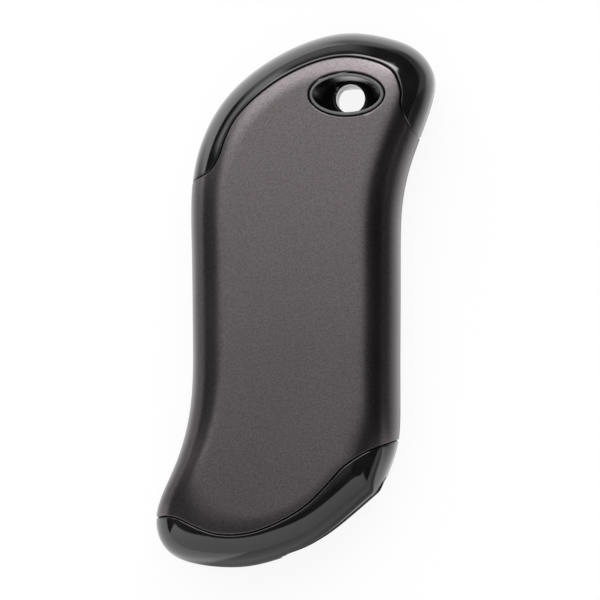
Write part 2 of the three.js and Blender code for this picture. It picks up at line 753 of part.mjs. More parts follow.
// A clear light pipe whose prongs fill the panel's holes, bent down to the lamps on the board
function addLights() {
  const pipeFront = panelBack - fitGap;
  const pipeBack = pipeFront - lightPipeDepth;
  const reach = (lightCount * lightPitch) / 2;
  const ledTop = boardTop + fitGap + ledHeight;
  const low = lightRow - lightPipeHeight / 2;
  const arm = block(
    new THREE.Vector3(microPlace - reach, low, pipeBack),
    new THREE.Vector3(microPlace + reach, low + lightPipeHeight, pipeFront),
  );
  const leg = block(
    new THREE.Vector3(microPlace - reach, ledTop + fitGap, pipeBack),
    new THREE.Vector3(microPlace + reach, low, pipeBack + lightPipeHeight),
  );
  let pipe = arm.add(leg);
  lightPlaces.forEach((x, i) => {
    pipe = pipe.add(bar(lightDiameter, pipeFront, portMouth, x, lightRow, { sides: smallRoundSides }));
    const ledMiddle = pipeBack + lightPipeHeight / 2;
    const led = block(
      new THREE.Vector3(x - ledWidth / 2, ledTop - ledHeight, ledMiddle - ledDepth / 2),
      new THREE.Vector3(x + ledWidth / 2, ledTop, ledMiddle + ledDepth / 2),
    );
    addPart("led_" + (i + 1), led, materials.lamp, ports);
  });
  addPart("light_pipe", pipe, materials.clear, ports);
}

// The board fills the bottom end inside the chassis and carries the electronics
function addBoard() {
  const bottom = boardTop - boardThickness;
  const room = bodySkin(chassisDepth + chassisWall + fitGap);
  const limits = block(
    new THREE.Vector3(-halfWidth, -halfLength, bottom),
    new THREE.Vector3(halfWidth, boardEnd, boardTop),
  );
  let board = room.intersect(limits);
  board = board.subtract(prism(panelShape(halfLength), panelBack - boardSetback, overrun, ports.matrix));
  const notch = bossDiameter / 2 + fitGap;
  for (const { x, y } of bosses) {
    const far = Math.sign(x) * (halfWidth + overrun);
    board = board.subtract(bar(2 * notch, bottom - fitGap, boardTop + fitGap, x, y)).subtract(
      block(
        new THREE.Vector3(Math.min(x, far), y - notch, bottom - fitGap),
        new THREE.Vector3(Math.max(x, far), y + notch, boardTop + fitGap),
      ),
    );
  }
  addPart("circuit_board", board, materials.board);
  const seat = boardTop + fitGap;
  const onBoard = ([widthShare, reachShare]) =>
    new THREE.Vector2(widthShare * halfWidth, boardStart + reachShare * boardReach);
  const inductorSize = [inductorWidthShare * halfWidth, inductorDepth, inductorHeight];
  const usbCorner = new THREE.Vector3(usbPlace - usbWidth / 2, 0, usbBack).applyMatrix4(ports.matrix);
  const inductorPlace = onBoard([0, inductorReachShare]);
  inductorPlace.x = usbCorner.x - inductorToUsb - inductorSize[0] / 2;
  addPart("inductor", standing(inductorSize, inductorPlace, seat), materials.ferrite);
  for (const [name, place] of Object.entries(chipPlaceShares)) {
    addPart(name, standing(chipSize, onBoard(place), seat), materials.chip);
  }
  capacitorPlaceShares.map(onBoard).forEach(({ x, y }, i) => {
    const can = bar(capacitorDiameter, seat, seat + capacitorHeight, x, y);
    addPart("capacitor_" + (i + 1), can, materials.steel);
  });
}

// Leads from the battery, the heaters and the temperature bead to the board
function addLeads() {
  const along = (x, places) => places.map(([y, z]) => new THREE.Vector3(x, y, z));
  const solderEnd = boardEnd - solderSetback;
  const topSolder = boardTop + fitGap + leadDiameter / 2;
  const rearSolder = boardTop - boardThickness - fitGap - leadDiameter / 2;
  const positiveStart = stripPlaces.positive - stripThickness / 2 - fitGap;
  const positiveEnds = [positiveStart, cellMiddle, solderEnd];
  const positive = along(0, positiveEnds.map((y) => [y, -rearLeadHeight]));
  addPart("battery_lead_positive", lead(positive, leadDiameter), materials.redLead);
  const negativeStart = stripPlaces.negative - stripThickness / 2 - fitGap;
  const negative = along(negativeLeadPlace, [[negativeStart, 0], [boardEnd, 0], [solderEnd, topSolder]]);
  addPart("battery_lead_negative", lead(negative, leadDiameter), materials.blackLead);
  const filmEnd = -filmLength / 2 - fitGap;
  const filmMiddle = (filmInner + filmOuter) / 2;
  for (const [name, side] of Object.entries(sides)) {
    const solder = side > 0 ? topSolder : rearSolder;
    const knee = side * (chassisBandHeight + leadDiameter);
    heaterLeadPlaces.forEach((x, i) => {
      const start = filmMiddle - fineLeadDiameter / 2;
      const route = along(x, [[filmEnd, side * start], [solderEnd, knee], [solderEnd, solder]]);
      addPart("heater_lead_" + name + "_" + (i + 1), lead(route, fineLeadDiameter), materials.whiteLead);
    });
  }
  const bead = new THREE.SphereGeometry(beadDiameter / 2, roundSides / 2, roundSides / 4);
  const beadPlace = new THREE.Matrix4().makeTranslation(0, cellMiddle, valleyHeight);
  addPart("thermistor", solid(bead, beadPlace), materials.chip);
  const beadEnd = cellMiddle - beadDiameter / 2 - fitGap;
  const beadRoute = along(0, [[beadEnd, valleyHeight], [boardEnd, valleyHeight], [solderEnd, topSolder]]);
  addPart("thermistor_lead", lead(beadRoute, fineLeadDiameter), materials.whiteLead);
}

addSkins();
addEyelets();
addBattery();
addHeaters();
addChassis();
addPorts();
addBoard();
addLeads();

export default handWarmer;
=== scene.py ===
import functools
import math

import bmesh
import bpy
from mathutils import Matrix, Vector


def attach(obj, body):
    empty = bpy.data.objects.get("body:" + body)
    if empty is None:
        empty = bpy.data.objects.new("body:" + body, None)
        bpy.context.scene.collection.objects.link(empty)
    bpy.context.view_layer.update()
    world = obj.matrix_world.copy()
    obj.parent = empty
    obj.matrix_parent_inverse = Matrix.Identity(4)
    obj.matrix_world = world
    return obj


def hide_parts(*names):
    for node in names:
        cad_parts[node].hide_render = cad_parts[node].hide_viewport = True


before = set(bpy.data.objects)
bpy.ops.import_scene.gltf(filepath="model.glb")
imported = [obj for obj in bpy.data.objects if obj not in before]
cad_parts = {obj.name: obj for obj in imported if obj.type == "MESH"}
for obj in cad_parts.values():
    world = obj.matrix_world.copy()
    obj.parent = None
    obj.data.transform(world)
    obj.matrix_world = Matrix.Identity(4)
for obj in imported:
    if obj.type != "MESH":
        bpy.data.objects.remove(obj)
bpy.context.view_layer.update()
print("frame loaded:", len(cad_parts), "nodes")

# Pieces are modelled in millimetres and brought to metres when they are finished
metre = 0.001
doubleReach = 0.002
spunReach = 0.0005
sharpAngle = math.radians(35)

body = {
    "width": 66,
    "length": 126,
    "halfThickness": 14,
    "flatShares": (0.59, 0.79),
    "fullness": 2.3,
    "seamGap": 0.35,
    "partingGap": 0.4,
    "outlineShares": [
        (0.739, 0), (0.74, 0.19), (0.75, 0.35), (0.803, 0.493), (0.889, 0.62), (0.967, 0.741),
        (0.984, 0.841), (0.877, 0.925), (0.709, 0.97), (0.424, 1), (0.152, 0.978), (-0.122, 0.917),
        (-0.36, 0.831), (-0.535, 0.732), (-0.653, 0.617), (-0.723, 0.492), (-0.745, 0.349),
        (-0.739, 0.175), (-0.735, 0), (-0.731, -0.19), (-0.738, -0.349), (-0.78, -0.493),
        (-0.856, -0.62), (-0.951, -0.73), (-0.996, -0.83), (-0.941, -0.922), (-0.772, -0.981),
        (-0.424, -1), (-0.163, -0.973), (0.132, -0.915), (0.362, -0.825), (0.549, -0.7415),
        (0.602, -0.715), (0.659, -0.636), (0.727, -0.525), (0.735, -0.373), (0.736, -0.19),
    ],
}

seams = {
    "top": [
        (-1.09, 0.297), (-0.909, 0.367), (-0.73, 0.437), (-0.585, 0.467), (-0.512, 0.514),
        (-0.452, 0.599), (-0.382, 0.667), (-0.248, 0.74), (-0.061, 0.811), (0.164, 0.866),
        (0.379, 0.889), (0.585, 0.874), (0.727, 0.833), (0.782, 0.762), (0.782, 0.704),
        (0.833, 0.639), (0.924, 0.589), (1.06, 0.518), (1.18, 0.456),
    ],
    "bottom": [
        (-1.21, -0.816), (-1.06, -0.814), (-0.975, -0.813), (-0.882, -0.804), (-0.785, -0.812),
        (-0.661, -0.841), (-0.527, -0.864), (-0.376, -0.867), (-0.218, -0.85), (-0.042, -0.81),
        (0.115, -0.758), (0.248, -0.691), (0.379, -0.617), (0.524, -0.566), (0.679, -0.534),
        (0.848, -0.508), (1.03, -0.478),
    ],
}

# How finely lines are sampled, and how often a search halves its range
sampling = {
    "fit": 40,
    "edge": 10,
    "edgeStep": 0.01,
    "flatSlack": 0.05,
    "placeHalvings": 30,
    "seam": 150,
    "seamHalvings": 24,
    "seamReach": 5,
    "skinStep": 0.004,
    "parting": 80,
    "faceHalvings": 26,
}

halfSize = Vector((body["width"] / 2, body["length"] / 2))
quarter = math.pi / 2


def scaled(point, shares):
    return Vector((point[0] * shares[0], point[1] * shares[1]))


# The outline is a closed smooth line that passes its points as a cubic B-spline
def outlineHandles():
    points = [scaled(halfSize, shares) for shares in body["outlineShares"]]
    count = len(points)
    handles = []
    for i, point in enumerate(points):
        bend = points[i - 1] + points[(i + 1) % count] - 2 * point
        handles.append(point - bend / 6)
    return handles


def alongLoop(handles, t):
    i = math.floor(t)
    f = t - i
    a, b, c, d = (handles[(i + k) % len(handles)] for k in (-1, 0, 1, 2))
    pullB, pullC = 3 * f**3 - 6 * f**2 + 4, -3 * f**3 + 3 * f**2 + 3 * f + 1
    return (a * (1 - f) ** 3 + b * pullB + c * pullC + d * f**3) / 6


def fittedHandles():
    handles = outlineHandles()
    count = sampling["fit"]
    places = [alongLoop(handles, k / count) for k in range(count * len(handles))]
    low = Vector((min(p.x for p in places), min(p.y for p in places)))
    high = Vector((max(p.x for p in places), max(p.y for p in places)))
    fit = (body["width"] / (high.x - low.x), body["length"] / (high.y - low.y))
    return [scaled(point - (low + high) / 2, fit) for point in handles]


loopHandles = fittedHandles()
loopLength = len(loopHandles)


# Edge, flat face's edge and the width of the round between them, at a place t round the outline
@functools.lru_cache(maxsize=None)
def section(t):
    edge = alongLoop(loopHandles, t)
    step = sampling["edgeStep"]
    along = alongLoop(loopHandles, t + step) - alongLoop(loopHandles, t - step)
    outward = Vector((along.y, -along.x)).normalized()
    flat = scaled(edge, body["flatShares"])
    across = edge - flat
    return flat, across, across.dot(outward)


# How far out and up the round between flat face and parting line stands, for a rise
def roundPoint(rise):
    power = 2 / body["fullness"]
    share = math.cos(rise) ** power
    return share, math.copysign(abs(math.sin(rise)) ** power, rise)


def riseOfShare(share):
    return math.acos(min(1, max(0, share)) ** (body["fullness"] / 2))


def riseOfHeight(height):
    return math.asin(min(1, abs(height)) ** (body["fullness"] / 2))


# A point of the body's front skin: rise is 0 at the parting line and a quarter turn where the flat face
# starts, and depth sinks it below the surface
def skinPoint(t, rise, depth=0):
    flat, across, round_ = section(t)
    if rise > quarter:
        share, height = quarter - rise, 1
    else:
        share, height = roundPoint(rise)
    place = flat + across * ((1 - depth / round_) * share)
    half = body["halfThickness"]
    return Vector((place.x, place.y, half + (half - depth) * height))


edgePlaces = [k / sampling["edge"] for k in range(sampling["edge"] * loopLength)]
edgeSamples = [(t, *section(t)[:2]) for t in edgePlaces]


# The place round the outline and the share from flat face to edge, for a point seen from the front
def planPlace(point):
    best = None
    for k, (t, flat, across) in enumerate(edgeSamples):
        after, flatAfter, acrossAfter = edgeSamples[(k + 1) % len(edgeSamples)]
        side = (point - flat).cross(across)
        sideAfter = (point - flatAfter).cross(acrossAfter)
        if side * sideAfter > 0:
            continue
        share = (point - flat).dot(across) / across.length_squared
        if share < -sampling["flatSlack"] or (best and share >= best[1]):
            continue
        span = (after - t) % loopLength
        low, high = t, t + span
        for _ in range(sampling["placeHalvings"]):
            middle = (low + high) / 2
            flatMid, acrossMid = section(middle)[:2]
            if (point - flatMid).cross(acrossMid) * side > 0:
                low = middle
            else:
                high = middle
        flatMid, acrossMid = section(low)[:2]
        share = (point - flatMid).dot(acrossMid) / acrossMid.length_squared
        best = (low, share)
    return best


# Height of the front skin over a point seen from the front
def skinHeight(x, y, depth=0):
    half = body["halfThickness"]
    found = planPlace(Vector((x, y)))
    if not found or found[1] <= 0:
        return 2 * half - depth
    t, share = found
    flat, across, round_ = section(t)
    lean = min(1, share / (1 - depth / round_))
    return half + (half - depth) * roundPoint(riseOfShare(lean))[1]


# A smooth line through the points of a seam
def alongSeam(shares, s):
    points = [scaled(halfSize, share) for share in shares]
    last = len(points) - 1
    i = min(max(math.floor(s), 0), last - 1)
    f = s - i
    before, start, end, after = (points[min(max(i + k, 0), last)] for k in (-1, 0, 1, 2))
    pull, pullAfter = (end - before) / 2, (after - start) / 2
    return (
        (2 * start - 2 * end + pull + pullAfter) * f**3
        + (3 * end - 3 * start - 2 * pull - pullAfter) * f**2
        + pull * f
        + start
    )


# Spaces a line on the skin evenly into a number of steps
def spacedTo(line, count):
    places = [skinPoint(*point) for point in line]
    reach = [0]
    for a, b in zip(places, places[1:]):
        reach.append(reach[-1] + (b - a).length)
    result, k = [], 0
    for step in range(count + 1):
        goal = reach[-1] * step / count
        while k < len(reach) - 2 and reach[k + 1] < goal:
            k += 1
        f = (goal - reach[k]) / (reach[k + 1] - reach[k])
        result.append(line[k].lerp(line[k + 1], min(1, f)))
    return result


# How many steps of about a pitch a line on the skin holds
def stepsOf(line, pitch):
    places = [skinPoint(*point) for point in line]
    return max(4, round(sum((b - a).length for a, b in zip(places, places[1:])) / pitch))


# A seam on the front skin as (t, rise) points from its left end to its right one
def seamOnSkin(shares):
    last = len(shares) - 1
    middle = last / 2
    ends = []
    for inside, outside in ((middle, 0), (middle, last)):
        for _ in range(sampling["seamHalvings"]):
            half = (inside + outside) / 2
            found = planPlace(alongSeam(shares, half))
            if found and found[1] < 1:
                inside = half
            else:
                outside = half
        ends.append(inside)
    line = []
    steps = sampling["seam"]
    for k in range(-steps, steps + 1):
        share = k / steps
        end = ends[0] if k < 0 else ends[1]
        s = end + (middle - end) * (1 - abs(share)) ** 2
        t, lean = planPlace(alongSeam(shares, s))
        line.append(Vector((t, riseOfShare(lean))))
    return line


# Moves the points of a line on the skin to its left by a distance
def shifted(line, distance, closed):
    places = [skinPoint(*point) for point in line]
    last = len(line) - 1
    step = sampling["skinStep"]
    result = []
    for i, (t, rise) in enumerate(line):
        alongT = (skinPoint(t + step, rise) - skinPoint(t - step, rise)) / (2 * step)
        alongRise = (skinPoint(t, rise + step) - skinPoint(t, rise - step)) / (2 * step)
        outward = alongT.cross(alongRise).normalized()
        before = places[i - 1] if i > 0 or closed else places[0]
        after = places[(i + 1) % len(line)] if i < last or closed else places[last]
        lefts = [
            outward.cross(way).normalized()
            for way in (places[i] - before, after - places[i])
            if way.length > 0
        ]
        first, second = lefts[0], lefts[-1]
        move = (first + second) / (1 + first.dot(second)) * distance
        a, b, c = alongT.dot(alongT), alongT.dot(alongRise), alongRise.dot(alongRise)
        p, q = move.dot(alongT), move.dot(alongRise)
        scale = a * c - b * b
        result.append(Vector((t + (p * c - q * b) / scale, rise + (q * a - p * b) / scale)))
    return result


# The part of a seam in front of the parting line, once it has moved to its left. Its ends are mirrored
# past the parting line first, so that it still reaches it
def seamSide(line, distance):
    reach = sampling["seamReach"]
    before = [Vector((p.x, -p.y)) for p in line[reach:0:-1]]
    after = [Vector((p.x, -p.y)) for p in line[-2:-2 - reach:-1]]
    moved = shifted(before + line + after, distance, False)
    kept = []
    for a, b in zip(moved, moved[1:]):
        if (a.y - partingRise) * (b.y - partingRise) < 0:
            kept.append(a.lerp(b, (partingRise - a.y) / (b.y - a.y)))
        if b.y > partingRise:
            kept.append(b)
    return kept


def alongParting(start, end):
    count = sampling["parting"]
    return [Vector((start + (end - start) * k / count, partingRise)) for k in range(count + 1)]


def turned(line, turns):
    return [Vector((p.x + turns * loopLength, p.y)) for p in line]


# A closed piece whose skin runs through rows of points
def sheetOf(rows):
    columns, steps = len(rows[0]) - 1, len(rows) - 1
    bm = bmesh.new()
    bmesh.ops.create_grid(bm, x_segments=columns, y_segments=steps, size=0.5)
    for vert in bm.verts:
        column, row = round((vert.co.x + 0.5) * columns), round((vert.co.y + 0.5) * steps)
        vert.co = rows[row][column]
    bmesh.ops.remove_doubles(bm, verts=bm.verts[:], dist=doubleReach)
    bmesh.ops.holes_fill(bm, edges=[edge for edge in bm.edges if edge.is_boundary], sides=0)
    bmesh.ops.recalc_face_normals(bm, faces=bm.faces[:])
    return bm


# The same shape behind the parting line
def mirroredBehind(bm):
    copy = bm.copy()
    flip = Matrix.Translation((0, 0, 2 * body["halfThickness"])) @ Matrix.Scale(-1, 4, (0, 0, 1))
    bmesh.ops.transform(copy, matrix=flip, verts=copy.verts[:])
    bmesh.ops.reverse_faces(copy, faces=copy.faces[:])
    return copy


def objectOf(bm, name):
    mesh = bpy.data.meshes.new(name)
    bm.to_mesh(mesh)
    bm.free()
    piece = bpy.data.objects.new(name, mesh)
    bpy.context.scene.collection.objects.link(piece)
    return piece


# Cuts one object with others and removes those
def cutBy(piece, cutters, operation="DIFFERENCE"):
    for cutter in cutters:
        cut = piece.modifiers.new("cut", "BOOLEAN")
        cut.operation, cut.solver, cut.object = operation, "EXACT", cutter
    done = bpy.data.meshes.new_from_object(piece.evaluated_get(bpy.context.evaluated_depsgraph_get()))
    piece.modifiers.clear()
    piece.data = done
    for cutter in cutters:
        bpy.data.objects.remove(cutter)
    return piece


# Smooths a piece but for its sharp edges, brings it to metres and hangs it on the frame
def finishPiece(piece, finishName, nodes=(), bodyName="housing"):
    mesh = piece.data
    bm = bmesh.new()
    bm.from_mesh(mesh)
    for face in bm.faces:
        face.smooth = True
        face.material_index = 0
    for edge in bm.edges:
        edge.smooth = edge.calc_face_angle(0) < sharpAngle
    bmesh.ops.scale(bm, vec=(metre, metre, metre), verts=bm.verts[:])
    bm.to_mesh(mesh)
    bm.free()
    mesh.materials.clear()
    mesh.materials.append(materials[finishName])
    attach(piece, bodyName)
    if nodes:
        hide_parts(*nodes)
    weighted = piece.modifiers.new("weightedNormals", "WEIGHTED_NORMAL")
    weighted.keep_sharp = True
    return piece


partingRise = riseOfHeight(body["partingGap"] / 2 / body["halfThickness"])
seamLines = {name: seamOnSkin(shares) for name, shares in seams.items()}
print("seams laid on the skin")

skins = {
    "pitch": 0.6,
    "rows": 30,
    "innerRows": 6,
    "edgeRound": 0.22,
    "roundSteps": 4,
    "shellWall": 1.2,
    "capWall": 1.8,
    "core": 0.12,
    "easeReach": 26,
    "easePasses": 2,
}


# Points of the rounding between a wall's edge and the skin: how far in from the edge, and how deep
def roundingSteps(radius, steps):
    turns = [quarter * k / steps for k in range(steps + 1)]
    return [(radius * (1 - math.cos(turn)), radius * (1 - math.sin(turn))) for turn in turns]


# A closed line moved in from an edge step by step, with the depth of each step
def roundedEdge(line):
    steps = roundingSteps(skins["edgeRound"], skins["roundSteps"])
    return [(shifted(line, inward, True), depth) for inward, depth in steps]


def rowAt(line, depth):
    return [skinPoint(point.x, point.y, depth) for point in line]


def between(first, second, share):
    return [a.lerp(b, share) for a, b in zip(first, second)]


# The edge of a shell, anticlockwise from the right end of the bottom seam
def shellEdge():
    top = turned(seamSide(seamLines["top"], -body["seamGap"] / 2)[::-1], 1)
    bottom = turned(seamSide(seamLines["bottom"], body["seamGap"] / 2), 1)
    right = alongParting(bottom[-1].x - loopLength, top[0].x)
    left = alongParting(top[-1].x, bottom[0].x)
    edge = []
    for part in (right, top, left, bottom):
        edge += spacedTo(part, stepsOf(part, skins["pitch"]))[:-1]
    return edge


# Runs a closed line's places round the outline together where they crowd
def easedPlaces(edge):
    places = [point.x for point in edge]
    count, reach = len(places), skins["easeReach"]
    for _ in range(skins["easePasses"]):
        ring = [t - loopLength for t in places] + places + [t + loopLength for t in places]
        windows = [ring[count + i - reach:count + i + reach + 1] for i in range(count)]
        places = [sum(window) / len(window) for window in windows]
    return places


def closedRow(row):
    return row + row[:1]


# A shell from the middle of its flat face over its edge to its inner wall
def shellRows():
    edge = shellEdge()
    target = [Vector((t, quarter)) for t in easedPlaces(edge)]
    core = [Vector((point.x, quarter + skins["core"])) for point in target]
    rounding = roundedEdge(edge)
    surfaceEdge = rounding[-1][0]
    rows = [rowAt(core, 0)]
    for k in range(skins["rows"]):
        rows.append(rowAt(between(target, surfaceEdge, k / skins["rows"]), 0))
    rows += [rowAt(line, depth) for line, depth in rounding[::-1]]
    for k in range(skins["innerRows"] + 1):
        rows.append(rowAt(between(edge, target, k / skins["innerRows"]), skins["shellWall"]))
    rows.append(rowAt(core, skins["shellWall"]))
    return [closedRow(row) for row in rows]


# A cap from the parting line over its skin to the seam, and back along its inner wall
def capRows(seamName, side):
    seam = seamSide(seamLines[seamName], side * body["seamGap"] / 2)
    if seam[0].x > seam[-1].x:
        seam.reverse()
    count = stepsOf(seam, skins["pitch"])
    seam = spacedTo(seam, count)
    parting = spacedTo(alongParting(seam[0].x, seam[-1].x), count)
    loop = parting + seam[-2:0:-1]

    def split(line):
        return line[:count + 1], [line[0]] + line[:count - 1:-1]

    rounding = [(split(line), depth) for line, depth in roundedEdge(loop)]
    outerParting, outerSeam = rounding[-1][0]
    rows = [rowAt(parting, skins["capWall"])]
    rows += [rowAt(lines[0], depth) for lines, depth in rounding]
    for k in range(1, skins["rows"]):
        rows.append(rowAt(between(outerParting, outerSeam, k / skins["rows"]), 0))
    rows += [rowAt(lines[1], depth) for lines, depth in rounding[::-1]]
    for k in range(skins["innerRows"] + 1):
        rows.append(rowAt(between(seam, parting, k / skins["innerRows"]), skins["capWall"]))
    return rows


# A node with its settings and sockets, where a socket's value may be another node's output
def addNode(tree, kind, sockets=None, **settings):
    node = tree.nodes.new("ShaderNode" + kind)
    for name, value in settings.items():
        setattr(node, name, value)
    for name, value in (sockets or {}).items():
        if isinstance(value, bpy.types.NodeSocket):
            tree.links.new(value, node.inputs[name])
        else:
            node.inputs[name].default_value = value
    return node


def computed(tree, operation, *values):
    return addNode(tree, "Math", dict(enumerate(values)), operation=operation).outputs[0]


# A value brought from one range to another
def mapped(tree, value, start, end, low=0, high=1, **settings):
    sockets = {"Value": value, "From Min": start, "From Max": end, "To Min": low, "To Max": high}
    return addNode(tree, "MapRange", sockets, **settings).outputs[0]


# A node group with its inputs, numbers with their defaults after vectors, and its outputs
def newGroup(name, inputs, outputs, vectors=()):
    group = bpy.data.node_groups.new(name, "ShaderNodeTree")
    for label in vectors:
        group.interface.new_socket(label, in_out="INPUT", socket_type="NodeSocketVector")
    for label, value in inputs.items():
        socket = group.interface.new_socket(label, in_out="INPUT", socket_type="NodeSocketFloat")
        socket.default_value = value
    for label in outputs:
        group.interface.new_socket(label, in_out="OUTPUT", socket_type="NodeSocketFloat")
    given, made = group.nodes.new("NodeGroupInput"), group.nodes.new("NodeGroupOutput")
    return group, given.outputs, made.inputs


# Fine grain, and broad patches, at scales per metre
def makeGrainGroup():
    inputs = {"Grain Scale": 3000, "Patch Scale": 60, "Stretch": 1}
    group, given, made = newGroup("surfaceGrain", inputs, ("Grain", "Patch"))
    place = addNode(group, "TexCoord").outputs["Object"]
    stretch = addNode(group, "CombineXYZ", {"X": 1, "Y": given["Stretch"], "Z": 1})
    drawn = addNode(group, "VectorMath", {0: place, 1: stretch.outputs[0]}, operation="MULTIPLY")
    noises = (("Grain", drawn.outputs[0], 2, 0.6), ("Patch", place, 3, 0.5))
    for label, vector, detail, roughness in noises:
        scale = given[label + " Scale"]
        sockets = {"Vector": vector, "Scale": scale, "Detail": detail, "Roughness": roughness}
        noise = addNode(group, "TexNoise", sockets)
        group.links.new(noise.outputs["Fac"], made[label])
    return group


# Wear and painted highlight: a mask of the edges that stand out, broken up along them, or left whole to
# paint a highlight
def makeWearAndHighlightGroup():
    inputs = {
        "Start": 0.56, "End": 0.68, "Break Scale": 900, "Break From": 0.4, "Break To": 0.65,
        "Amount": 0.5,
    }
    group, given, made = newGroup("edgeWearAndHighlight", inputs, ("Mask",))
    edge = addNode(group, "NewGeometry").outputs["Pointiness"]
    rise = mapped(group, edge, given["Start"], given["End"])
    place = addNode(group, "TexCoord").outputs["Object"]
    sockets = {"Vector": place, "Scale": given["Break Scale"], "Detail": 3}
    broken = addNode(group, "TexNoise", sockets).outputs["Fac"]
    patchy = mapped(group, broken, given["Break From"], given["Break To"])
    mask = computed(group, "MULTIPLY", rise, patchy)
    mask = computed(group, "MULTIPLY", mask, given["Amount"])
    group.links.new(mask, made["Mask"])
    return group


grainGroup = makeGrainGroup()
wearGroup = makeWearAndHighlightGroup()


# The parts of the grain and of the patches that a finish spreads over its two colours and roughnesses
grainRange = (0.35, 0.65)
patchRange = (0.3, 0.7)


# A finish: the grain mixes two colours and stands up as bumps, the patches vary the roughness, and
# edges
# that stand out show a third colour: rubbed edges on most finishes, a painted highlight on the eyelet's
# bead
def makeFinish(name, look):
    material = bpy.data.materials.new(name)
    material.use_nodes = True
    tree = material.node_tree
    shader = tree.nodes["Principled BSDF"]
    for label, value in look.get("shader", {}).items():
        shader.inputs[label].default_value = value
    stretch = look.get("stretch", 1)
    scales = {"Grain Scale": look["grain"], "Patch Scale": look["patch"], "Stretch": stretch}
    grain = addNode(tree, "Group", scales, node_tree=grainGroup)
    edges = {"Amount": look.get("wear", 0.3), **look.get("edges", {})}
    wear = addNode(tree, "Group", edges, node_tree=wearGroup)
    mottle = mapped(tree, grain.outputs["Grain"], *grainRange)
    dark, light, wornAndHighlitColour = look["colours"]
    mixed = addNode(tree, "Mix", {0: mottle, 6: dark, 7: light}, data_type="RGBA")
    # Edges that stand out take the third colour: rubbed edges on most finishes, a painted highlight on
    # the eyelet's bead
    sockets = {0: wear.outputs["Mask"], 6: mixed.outputs[2], 7: wornAndHighlitColour}
    colour = addNode(tree, "Mix", sockets, data_type="RGBA")
    tree.links.new(colour.outputs[2], shader.inputs["Base Color"])
    rough = mapped(tree, grain.outputs["Patch"], *patchRange, *look["rough"])
    tree.links.new(rough, shader.inputs["Roughness"])
    sockets = {
        "Height": grain.outputs["Grain"], "Strength": look.get("bumpStrength", 0.5),
        "Distance": look["bump"],
    }
    bump = addNode(tree, "Bump", sockets)
    tree.links.new(bump.outputs["Normal"], shader.inputs["Normal"])
    return material


def grey(value):
    return (value, value, value, 1)


def greys(*values):
    return [grey(value) for value in values]


def warmGrey(value):
    return (value * 1.07, value * 0.95, value * 0.98, 1)


# A finish by its dark, light and third colour (rubbed edges, on the eyelet a painted highlight), its
# least and most roughness, how fine its grain and its patches are, and how far the grain stands up in
# metres
def finish(colours, rough, grain, patch, bump, **more):
    return {"colours": colours, "rough": rough, "grain": grain, "patch": patch, "bump": bump, **more}


